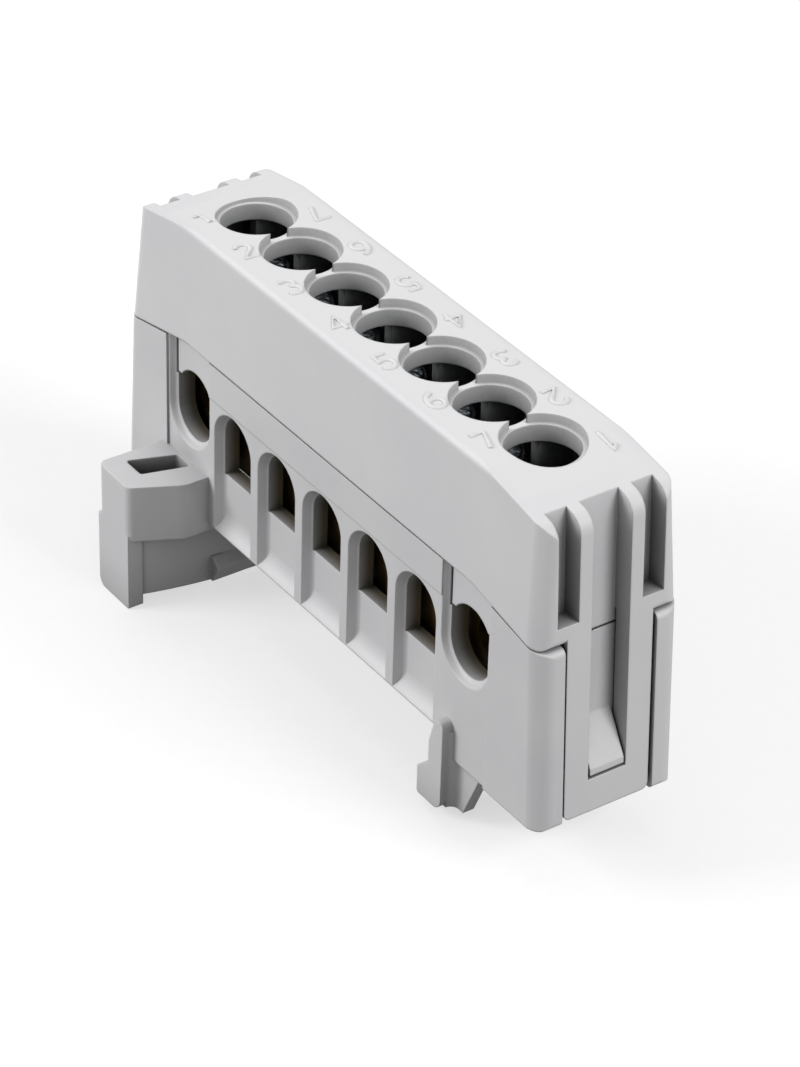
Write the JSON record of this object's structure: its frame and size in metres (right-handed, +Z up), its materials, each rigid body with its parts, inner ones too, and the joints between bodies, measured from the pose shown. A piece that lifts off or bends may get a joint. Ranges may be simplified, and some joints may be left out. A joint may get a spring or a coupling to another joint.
{
  "type": "terminal block",
  "caption": "Power distribution block with side wire entries, clamp screws on one brass bar, a clip-on cover and a rail clip.",
  "frame": {"origin": "middle of the footprint, at the level of the clip's lowest points", "axes": "+X along the row of ways from way 1 to way 7, -Y the front long side, +Z up, out of the screw holes"},
  "size_m": [0.0642, 0.0278, 0.0361],
  "materials": {
    "cover_grey": "fine satin, moulded",
    "base_grey": "fine satin, moulded",
    "brass": "drawn, lightly dulled",
    "zinc_steel": "bright zinc plating"
  },
  "bodies": {
    "housing": {"cover": "cover_grey", "base": "base_grey", "terminal_bar": "brass"},
    "clamp_screw_1": {"clamp_screw_1": "zinc_steel"},
    "clamp_screw_2": {"clamp_screw_2": "zinc_steel"},
    "clamp_screw_3": {"clamp_screw_3": "zinc_steel"},
    "clamp_screw_4": {"clamp_screw_4": "zinc_steel"},
    "clamp_screw_5": {"clamp_screw_5": "zinc_steel"},
    "clamp_screw_6": {"clamp_screw_6": "zinc_steel"},
    "clamp_screw_7": {"clamp_screw_7": "zinc_steel"}
  },
  "joints": [
    {"name": "clamp_screw_1_travel", "type": "slide", "parent": "housing", "child": "clamp_screw_1", "axis": [0, 0, -1], "range_m": [0, 0.0036]},
    {"name": "clamp_screw_2_travel", "type": "slide", "parent": "housing", "child": "clamp_screw_2", "axis": [0, 0, -1], "range_m": [0, 0.0036]},
    {"name": "clamp_screw_3_travel", "type": "slide", "parent": "housing", "child": "clamp_screw_3", "axis": [0, 0, -1], "range_m": [0, 0.0036]},
    {"name": "clamp_screw_4_travel", "type": "slide", "parent": "housing", "child": "clamp_screw_4", "axis": [0, 0, -1], "range_m": [0, 0.0036]},
    {"name": "clamp_screw_5_travel", "type": "slide", "parent": "housing", "child": "clamp_screw_5", "axis": [0, 0, -1], "range_m": [0, 0.0036]},
    {"name": "clamp_screw_6_travel", "type": "slide", "parent": "housing", "child": "clamp_screw_6", "axis": [0, 0, -1], "range_m": [0, 0.0036]},
    {"name": "clamp_screw_7_travel", "type": "slide", "parent": "housing", "child": "clamp_screw_7", "axis": [0, 0, -1], "range_m": [0, 0.0036]}
  ]
}
